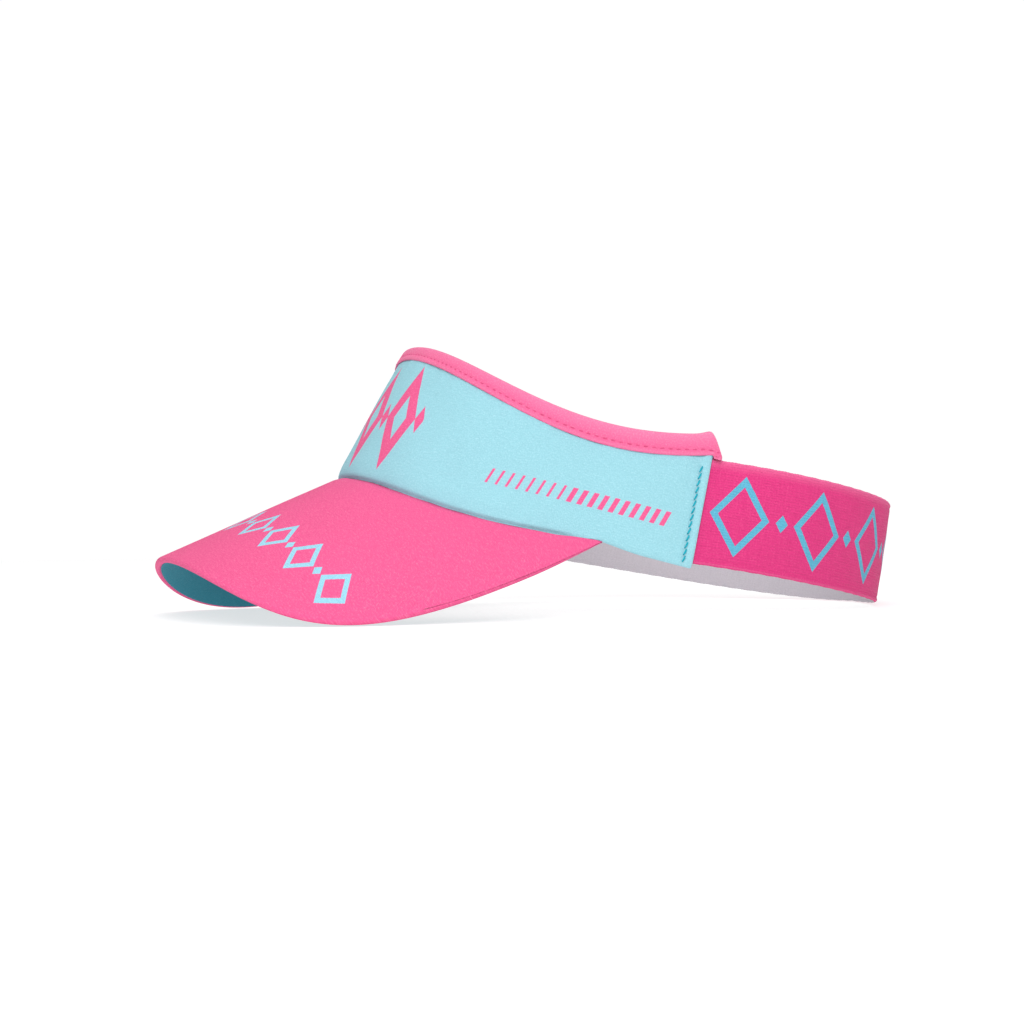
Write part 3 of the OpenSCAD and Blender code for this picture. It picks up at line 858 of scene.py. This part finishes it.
def top_binding(materials):
    """The tape folded over the edge, swept along it, with its tails folded down on to the strap."""
    tape_end = PANEL_END + TAIL_ANGLE
    angles = steps(-tape_end, tape_end, 0.7)
    leg = np.concatenate([np.linspace(0, 0.4, 13), np.linspace(0.4, 1, 9)[1:]])
    turn = np.linspace(0, math.pi, 11)

    def surface(a, grow):
        """The fold's cross-section, from the outer leg's lower edge over the top to the inner leg's."""
        top, low = binding_top(a), binding_low(a)
        out = GAP + grow
        inn = lining_off(a) - LINING_T - GAP - grow
        mid, half = (out + inn) / 2, (out - inn) / 2
        crest = half * 0.5
        fold = top - crest * 0.6
        rows = [(mix(low, fold, t), out) for t in leg]
        rows += [(fold + crest * math.sin(t), mid + half * math.cos(t)) for t in turn[1:-1]]
        return rows + [(mix(low, fold, t), inn) for t in leg[::-1]]

    def relief(a, h, k, count):
        s = arc(a)
        over = h - binding_row(a)
        puff = 0.30 * bump(over, 2.8, 2.0) - 0.30 * bump(over, 0, 0.5) + 0.14 * bump(over, -1.2, 0.6)
        pull = 0.12 * np.cos(2 * math.pi * s / STITCH_PITCH) * bump(over, 0, 1.5)
        ripple = 0.10 * np.sin(s * 0.83 + np.sin(s * 0.31)) * bump(over, 1.6, 3.0)
        rise = h - binding_low(a)
        folds = tail_share(a) * (-0.7 * bump(rise, 1.5, 0.2) - 0.6 * bump(rise, 0.75, 0.18)
                                 + 0.2 * bump(rise, 1.1, 0.2) + 0.15 * bump(rise, 0.3, 0.2))
        thin = -0.42 * np.exp(-np.maximum(rise, 0) / 0.5) * (1 - tail_share(a))
        narrow = 1 - smooth(k / (count / 2 - 2))
        return (puff + pull + ripple + folds + thin) * narrow

    def contour(a, grow):
        rows = surface(a, grow)
        points, us, vs = [], [], []
        for k, (h, off) in enumerate(rows):
            near = off + relief(a, h, k, len(rows)) * (1 if grow else 0.6)
            rise = h - binding_low(a)
            points.append(skin(a, h, near))
            us.append(arc(a))
            vs.append(rise if k < len(rows) / 2 else TAPE_FLAT - rise)
        return points, us, vs

    outer, inner = contour(angles, BINDING_T), contour(angles, 0.0)
    ring = [np.array(o + i[::-1]) for o, i in zip(outer, inner)]
    points = np.transpose(ring[0], (1, 0, 2))
    return make_mesh("binding_tape", points, ring_faces(*points.shape[:2]), ring[1].T, ring[2].T, materials)


def stitch_points(lo, hi, h, off, share=0.72):
    """Starts, ends and outward directions of a row of stitches along the skin."""
    s = np.arange(arc(lo), arc(hi), STITCH_PITCH)
    a, b = angle_at(s), angle_at(s + STITCH_PITCH * share)
    return skin(a, h(a), off(a)), skin(b, h(b), off(b)), skin_normal(a, h(a))


def inner_stitch(name, end, rise, sunk, radius, material):
    """A row on the sweatband's inner face, rise mm above its lower edge and sunk mm into it."""
    starts, ends, ups = stitch_points(-end, end, lambda a: towel_low(a) + rise,
                                      lambda a: towel_off(a) - TOWEL_T + sunk)
    return stitches(name, starts, ends, -ups, radius, material)


def binding_stitch(material):
    end = PANEL_END + 1.8
    starts, ends, ups = stitch_points(-end, end, binding_row, lambda a: GAP + BINDING_T - 0.20, 0.62)
    return stitches("binding_thread", starts, ends, ups, 0.27, material)


def end_stitch(side, material):
    """Slanting stitches, almost end to end, that hold the strap's end."""
    s, slant = PANEL_END_S - 3.6, 0.38
    a = float(angle_at(s))
    h = np.arange(float(tail_h(a)) + 1.5, float(top_h(a) - tape_w(a)) - 2.0 - END_PITCH, END_PITCH)
    foot, head = side * angle_at(s - slant), side * angle_at(s + slant)
    off = 0.10 + waviness(arc(foot), h) * 0.2
    name = "left_end_thread" if side > 0 else "right_end_thread"
    starts, ends = skin(foot, h, off), skin(head, h + END_PITCH * 0.94, off)
    return stitches(name, starts, ends, skin_normal(foot, h), 0.32, material, lift=0.66)


# ---- brim ----
def rim_guides():
    """Guide points of the left half of the rim, from the nose to the brim's end."""
    end = raw_skin(BRIM_END + 2, tail_h(BRIM_END + 2), GAP)
    return [(0, -NOSE_REACH), (NOSE_HALF_W, -NOSE_REACH), *((x, -y) for x, y in SHOULDER), (end[0], end[1])]


RIM_GUIDES = rim_guides()


def rim_xy(u):
    """Outline of the brim in plan, a Bezier curve; u runs from -1, the right end, to 1, the left end."""
    t = np.abs(u)
    n = len(RIM_GUIDES) - 1
    weights = [math.comb(n, k) * t**k * (1 - t) ** (n - k) for k in range(n + 1)]
    x, y = (sum(w * guide[i] for w, guide in zip(weights, RIM_GUIDES)) for i in (0, 1))
    return np.where(np.asarray(u) < 0, -x, x), y


def pinch(u):
    """Share of its thickness that the brim keeps: it is pressed flat towards its ends."""
    return mix(END_PRESS, 1.0, smooth((1 - np.abs(u)) / 0.1))


def root_xy(u, depth):
    """Where the brim, depth below its upper face, meets the panel, in plan."""
    a = BRIM_END * np.abs(u)
    p = raw_skin(a, seam_h(a, depth), GAP)
    return np.where(np.asarray(u) < 0, -p[..., 0], p[..., 0]), p[..., 1]


def brim_point(u, share, inset, depth, lift=0.0):
    """A point of the brim: share runs from the seam to the rim, inset is measured in from the rim.

    Depth goes straight down at the seam, and along the brim's normal at the rim."""
    deep = depth * pinch(u)
    rx, ry = root_xy(u, deep)
    ex, ey = rim_xy(u)
    span = np.hypot(ex - rx, ey - ry)
    t = share * (1 - inset / np.maximum(span, SHORT_SPAN))
    x, y = mix(rx, ex, t), mix(ry, ey, t)
    n = brim_normal(x, y)
    upright = np.zeros_like(n)
    upright[..., 2] = 1 / n[..., 2]
    way = mix(upright, n, smooth(t)[..., None])
    return xyz(x, y, brim_z(x, y)) + STAND - way * (deep - lift)[..., None], t, span


RIM_U = np.linspace(-1, 1, 2001)
RIM_S = np.concatenate([[0], np.cumsum(np.hypot(*np.diff(np.array(rim_xy(RIM_U)), axis=1)))])
RIM_S -= RIM_S[-1] / 2
RIM_HALF = float(RIM_S[-1])


def rim_steps(mm, end=1.0):
    half = float(np.interp(end, RIM_U, RIM_S))
    return np.interp(np.linspace(-half, half, int(2 * half / mm)), RIM_S, RIM_U)


def print_arc(points):
    """(distance along, distance out from) the arc that the brim's print follows, in mm."""
    x, y = points[..., 0], points[..., 1] - SHIFT_Y - PRINT_CENTRE_Y
    return np.arctan2(x, -y) * PRINT_RADIUS, np.hypot(x, y) - PRINT_RADIUS


def brim_wave(u, t):
    """Slow unevenness of the brim's upper face, in mm."""
    s = np.interp(u, RIM_U, RIM_S)
    return 0.12 * np.sin(s * 0.07 + 5 * t) * np.sin(3 * t + 0.5) + 0.05 * np.sin(s * 0.19 - 9 * t)


def brim_top_cover(materials):
    """The upper cover, wrapped round the rim: outer face out and under, then back along its inside."""
    r = BRIM_T / 2
    across = np.concatenate([[-0.035, -0.018, 0, 0.004, 0.009], np.linspace(0.015, 0.97, 46)])

    def face(sunk):
        """(share, inset, depth) along the face that lies sunk mm below the outer one."""
        rows = [(t, 0.0, sunk) for t in across]
        for w in np.linspace(0, math.pi, 13):
            rows.append((1.0, sunk + (r - sunk) * 0.95 * (1 - math.sin(w)), r - (r - sunk) * math.cos(w)))
        return rows + [(1.0, RIM_LAP, BRIM_T - sunk)]

    us = rim_steps(1.1)
    rows = face(0.0) + face(COVER_T)[::-1]
    share, inset, depth = (np.tile(column, (len(us), 1)) for column in zip(*rows))
    u = np.broadcast_to(us[:, None], share.shape)
    root, rim = root_xy(u, 0 * depth), rim_xy(u)
    reach = np.hypot(rim[0] - root[0], rim[1] - root[1])
    share = np.where(share < 0, share * TONGUE / np.maximum(reach, SHORT_TONGUE), share)
    groove = -GROOVE_D * np.exp(-np.maximum(share, 0) / GROOVE_SHARE)
    wave = brim_wave(u, share) * smooth((0.9 - share) / 0.4)
    points, _, _ = brim_point(u, share, inset, depth, (wave + groove) * pinch(u))
    print_u, print_v = print_arc(points)
    faces = [tuple(reversed(f)) for f in ring_faces(len(us), len(rows))]
    return make_mesh("brim_cover", points, faces, print_u, print_v + depth, materials)


def brim_layer(name, top, thick, inset, materials, mm, ripple=0.0, overlap=0.0, start=0.0):
    """A flat layer of the brim that stops short of the rim; overlap sinks it where it laps the cover."""
    def place(u, share, extra, deep):
        s = np.interp(u, RIM_U, RIM_S)
        near_rim = smooth((share - 0.80) / 0.17)
        depth = top + deep + overlap * near_rim
        pull = ripple * np.sin(s * 2 * math.pi / 2.3 + np.sin(s * 0.4)) * near_rim * smooth(deep / thick)
        p, t, span = brim_point(np.broadcast_to(u, share.shape), share, inset - extra, depth, pull)
        return p, s, span * (1 - t)
    shares = np.concatenate([np.linspace(start, 0.88, 26), np.linspace(0.9, 1, 12)])
    return cloth(name, place, rim_steps(mm, LAYER_END), shares, thick, materials, end_u=0.002, flip=True)


def edge_stitch(material):
    s = np.arange(-RIM_HALF * 0.93, RIM_HALF * 0.93, STITCH_PITCH)
    u, v = np.interp(s, RIM_S, RIM_U), np.interp(s + STITCH_PITCH * 0.7, RIM_S, RIM_U)
    depth = BRIM_T + 0.03
    starts, _, _ = brim_point(u, 1.0, EDGE_STITCH_INSET, depth)
    ends, _, _ = brim_point(v, 1.0, EDGE_STITCH_INSET, depth)
    return stitches("brim_edge_thread", starts, ends, -brim_normal(*rim_xy(u)), 0.25, material)


# ---- elastic strap and label ----
def strap_relief(a, h):
    """Woven selvages, rolled edges and a slow wave of the elastic, all held flat in the pockets."""
    s = arc(a)
    rise = h - strap_mid(a) + STRAP_W / 2
    edge = np.minimum(rise, STRAP_W - rise)
    selvage = 0.22 * bump(edge, 0.9, 0.55) - 0.14 * bump(edge, 2.0, 0.5)
    roll = -0.55 * np.exp(-np.maximum(STRAP_W - rise, 0) / 1.3) - 0.30 * np.exp(-np.maximum(rise, 0) / 0.7)
    free = smooth((around(a) - PANEL_END) / 6)
    wave = 0.18 * np.sin(s * 0.045 + 1.0) * np.sin(rise * 0.12) + 0.05 * np.sin(rise * 0.5 + s * 0.03)
    return (selvage + wave + roll) * free


def elastic_strap(materials):
    def place(a, share, extra, deep):
        s = arc(a)
        out = np.sign(share - 0.5) * smooth((np.abs(share - 0.5) - 0.46) / 0.04)
        tooth = 0.05 * np.sin(s * 2 * math.pi / 1.4) + 0.06 * np.sin(s * 0.9 + 1.3)
        h = strap_mid(a) + (share - 0.5) * STRAP_W + extra + out * tooth
        side = 1 - smooth(deep / STRAP_T) * 0.8
        return skin(a, h, strap_out(a) - deep + strap_relief(a, h) * side), s - arc(180), h - strap_mid(a)
    edges = np.concatenate([[0], np.linspace(0.018, 0.1, 9)])
    shares = np.concatenate([edges, np.linspace(0.1, 0.9, 30)[1:-1], 1 - edges[::-1]])
    return cloth("strap_elastic", place, steps(STRAP_TUCK, 360 - STRAP_TUCK, 0.5), shares, STRAP_T, materials)


def size_label(materials):
    def place(a, share, extra, deep):
        s = arc(a) - arc(180)
        v = (share - 0.5) * LABEL_H + extra
        lift = 0.10 * np.abs(np.sin(s * 0.9)) * smooth((np.abs(v) - 5) / 3)
        off = -STRAP_T - GAP - LABEL_T + deep - 0.05 - lift
        return skin(a, strap_mid(a) + v, off), s, v
    angles = angle_at(arc(180) + np.linspace(-LABEL_L / 2, LABEL_L / 2, 48))
    return cloth("back_label", place, angles, np.linspace(0, 1, 20), LABEL_T, materials, flip=True)


# ---- flat sizes of the cloth pieces ----
def grid_area(points):
    """Area in square metres of a grid of points in mm."""
    a, b = points[1:, :-1] - points[:-1, :-1], points[:-1, 1:] - points[:-1, :-1]
    return float(np.linalg.norm(np.cross(a, b), axis=-1).sum()) * MM * MM


def strip_cut(low, high, off, start, end):
    a = steps(start, end, 2.0)
    share = np.linspace(0, 1, 12)[None, :]
    points = skin(a[:, None], mix(low(a)[:, None], high(a)[:, None], share), off)
    length = float(np.linalg.norm(np.diff(points, axis=0), axis=-1).sum(0).max())
    width = float((high(a) - low(a)).max())
    area = min(grid_area(points), 0.999 * width * length * MM * MM)
    return {"flat": (width * MM, length * MM), "area": area}


def brim_cut(lap):
    """The same for a brim cover, with what is turned under at the rim."""
    u, share = np.meshgrid(rim_steps(2.0), np.linspace(0, 1, 24), indexing="ij")
    points, _, _ = brim_point(u, share, 0.0, 0.0)
    size = np.ptp(points.reshape(-1, 3), axis=0)
    width, length = float(size[0]) + 2 * lap, float(np.hypot(size[1], size[2])) + lap
    area = grid_area(points) + 2 * RIM_HALF * lap * MM * MM
    return {"flat": (width * MM, length * MM), "area": area}


# ---- the pieces, each fitted to the frame ----
def fitted(obj, node, body="front"):
    """Hides the CAD node a piece replaces, and ties the piece to the body it rides on, when one is given."""
    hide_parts(node)
    if body:
        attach(obj, body)
    return obj


def build_front(foam, grey_thread):
    panel = knit_material("panel_knit", TURQUOISE, PINK, front_print)
    lining = knit_material("lining_knit", LINING_GREY, sheen=0.2)
    towel = towelling_material("towelling", TOWEL_GREY)
    tape = tape_material("binding_tape", TAPE_PINK, TAPE_HIGHLIGHT_PINK)
    pink_thread = thread_material("pink_thread", THREAD_PINK)
    teal_thread = thread_material("turquoise_thread", THREAD_TEAL)
    fitted(front_panel((panel,)), "front_panel")
    strip_cut(low_h, cloth_top, 0.0, -PANEL_END, PANEL_END)
    fitted(panel_interlining((foam,)), "panel_interlining")
    fitted(panel_lining((lining,)), "panel_lining")
    strip_cut(low_h, cloth_top, LINING_OFF, -PANEL_END, PANEL_END)
    fitted(sweatband((towel,)), "sweatband")
    strip_cut(towel_low, towel_top, LINING_OFF, -TOWEL_END, TOWEL_END)
    overlock = inner_stitch("overlock_thread", TOWEL_END - 1, TOWEL_H - 1.5, 0.15, 0.28, grey_thread)
    fitted(overlock, "sweatband_overlock")
    fitted(top_binding((tape,)), "top_binding")
    fitted(binding_stitch(pink_thread), "binding_stitch")
    fitted(end_stitch(1, teal_thread), "left_end_stitch")
    fitted(end_stitch(-1, teal_thread), "right_end_stitch")


def build_brim(foam, grey_thread):
    cover = knit_material("brim_knit", PINK, BRIM_BLUE, brim_print)
    # painted shade darkens the underside deeper in from the rim
    under = knit_material("under_knit", UNDER_SHADED_TEAL, sheen=0.04, fluff=0.03, painted_shade=0.34)
    under_thread = thread_material("under_thread", THREAD_UNDER)
    core_top = COVER_T + GAP
    fitted(brim_top_cover((cover,)), "brim_top_cover")
    brim_cut(BRIM_T + 2)
    core = brim_layer("brim_foam", core_top, CORE_T - 2 * GAP, CORE_INSET, (foam,), 3.0, start=0.08)
    fitted(core, "brim_core")
    lower = brim_layer("brim_under_cloth", core_top + CORE_T + GAP, UNDER_T, UNDER_INSET, (under,), 0.7,
                       ripple=0.05, overlap=0.38)
    fitted(lower, "brim_under_cover")
    brim_cut(0)
    fitted(edge_stitch(under_thread), "brim_edge_stitch")
    seam = inner_stitch("seam_thread", BRIM_END - 2, 2, 0.35, 0.26, grey_thread)
    fitted(seam, "brim_seam_stitch")


def build_strap():
    outside = elastic_material("elastic", STRAP_PINK, STRAP_BLUE, strap_print, STRAP_HIGHLIGHT_PINK)
    inside = elastic_material("elastic_inside", STRAP_GREY, ribbed=0.3)
    satin = satin_material("label_satin", LABEL_WHITE, LABEL_GREY)
    strap = fitted(elastic_strap((outside, inside)), "elastic_strap", body=None)
    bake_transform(strap)
    label = fitted(size_label((satin,)), "size_label", "strap")


def build():
    foam = foam_material("foam", FOAM_WHITE)
    grey_thread = thread_material("grey_thread", THREAD_GREY)
    build_front(foam, grey_thread)
    build_brim(foam, grey_thread)
    build_strap()


def studio():
    """A plain pale floor, even white surroundings and soft lamps."""
    scene = bpy.context.scene
    scene.view_settings.view_transform = "Standard"
    world = bpy.data.worlds.new("studio")
    world.use_nodes = True
    nodes, links = world.node_tree.nodes, world.node_tree.links
    lit, seen = nodes["Background"], nodes.new("ShaderNodeBackground")
    lit.inputs["Strength"].default_value = WORLD_LIGHT
    seen.inputs["Strength"].default_value = WORLD_SEEN
    for shader in (lit, seen):
        shader.inputs["Color"].default_value = (1, 1, 1, 1)
    path, swap = nodes.new("ShaderNodeLightPath"), nodes.new("ShaderNodeMixShader")
    links.new(path.outputs["Is Camera Ray"], swap.inputs[0])
    links.new(lit.outputs[0], swap.inputs[1])
    links.new(seen.outputs[0], swap.inputs[2])
    links.new(swap.outputs[0], nodes["World Output"].inputs["Surface"])
    scene.world = world
    turn = np.linspace(0, 2 * math.pi, FLOOR_SIDES, endpoint=False)
    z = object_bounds()[0][2] - FLOOR_DROP
    corners = [(FLOOR_R * math.cos(t), FLOOR_R * math.sin(t), z) for t in turn]
    mesh = bpy.data.meshes.new("studio_floor")
    mesh.from_pydata(corners, [], [tuple(range(FLOOR_SIDES))])
    mesh.materials.append(floor_material())
    linked("studio_floor", mesh)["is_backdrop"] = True
    for name, place, width, power in LAMPS:
        light = bpy.data.lights.new(name, "AREA")
        light.shape = "SQUARE"
        light.size = width
        light.energy = power
        obj = linked(name, light)
        obj.location = place
        obj.rotation_mode = "QUATERNION"
        obj.rotation_quaternion = (Vector(LAMP_AIM) - Vector(place)).to_track_quat("-Z", "Y")


def camera():
    """Looks at the visor's left side from a little in front, level with the brim."""
    azimuth, rise, roll = (math.radians(x) for x in (CAMERA_AZIMUTH, CAMERA_RISE, CAMERA_ROLL))
    aim = Vector((0, (SHIFT_Y + AIM_Y) * MM, (AIM_Z - FLOOR_Z) * MM))
    back = Vector((math.sin(azimuth) * math.cos(rise), -math.cos(azimuth) * math.cos(rise), math.sin(rise)))
    data = bpy.data.cameras.new("camera")
    data.sensor_width = 36
    data.lens = data.sensor_width * CAMERA_AWAY / VIEW_W
    obj = linked("camera", data)
    obj.rotation_mode = "QUATERNION"
    turn = (-back).to_track_quat("-Z", "Y").to_matrix() @ Matrix.Rotation(roll, 3, "Z")
    obj.rotation_quaternion = turn.to_quaternion()
    obj.location = aim + back * CAMERA_AWAY * MM
    bpy.context.scene.camera = obj


build()
camera()
studio()
